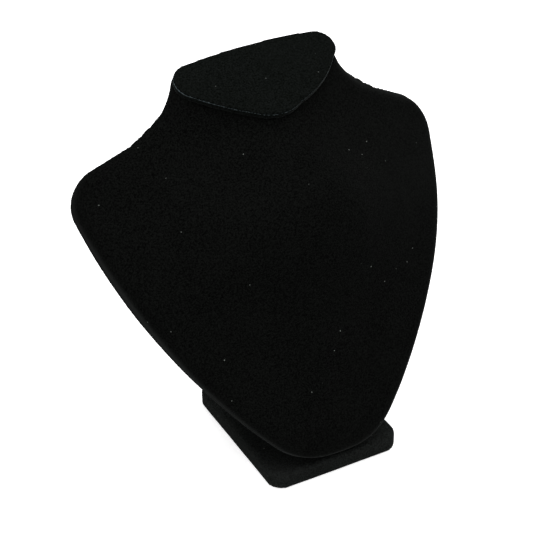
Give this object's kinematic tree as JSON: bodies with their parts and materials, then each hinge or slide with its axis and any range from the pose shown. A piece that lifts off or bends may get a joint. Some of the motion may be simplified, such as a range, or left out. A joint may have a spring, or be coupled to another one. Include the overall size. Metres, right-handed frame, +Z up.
{
  "type": "necklace stand",
  "caption": "Velvet-covered necklace display bust that leans back on a flat rectangular foot, with a slanted flat-topped neck and wide shoulders.",
  "frame": {"origin": "middle of the foot's underside", "axes": "+Z up out of the foot, -Y to the front, where the chest looks, +X across to the bust's left shoulder"},
  "size_m": [0.185, 0.0942, 0.1847],
  "materials": {
    "velvet": "short pile, matt",
    "shell_plastic": "moulded, matt",
    "board": "raw fibreboard",
    "pad": "flat felt",
    "steel": "zinc plated"
  },
  "bodies": {
    "root": {"bust_shell": "shell_plastic", "bust_cover": "velvet", "neck_cap": "board", "neck_cap_cover": "velvet", "back_panel": "board", "back_cover": "velvet", "support_block": "board", "support_cover": "velvet", "base_board": "board", "base_cover": "velvet", "base_pad": "pad", "base_screws": "steel", "back_screws": "steel"}
  },
  "joints": []
}
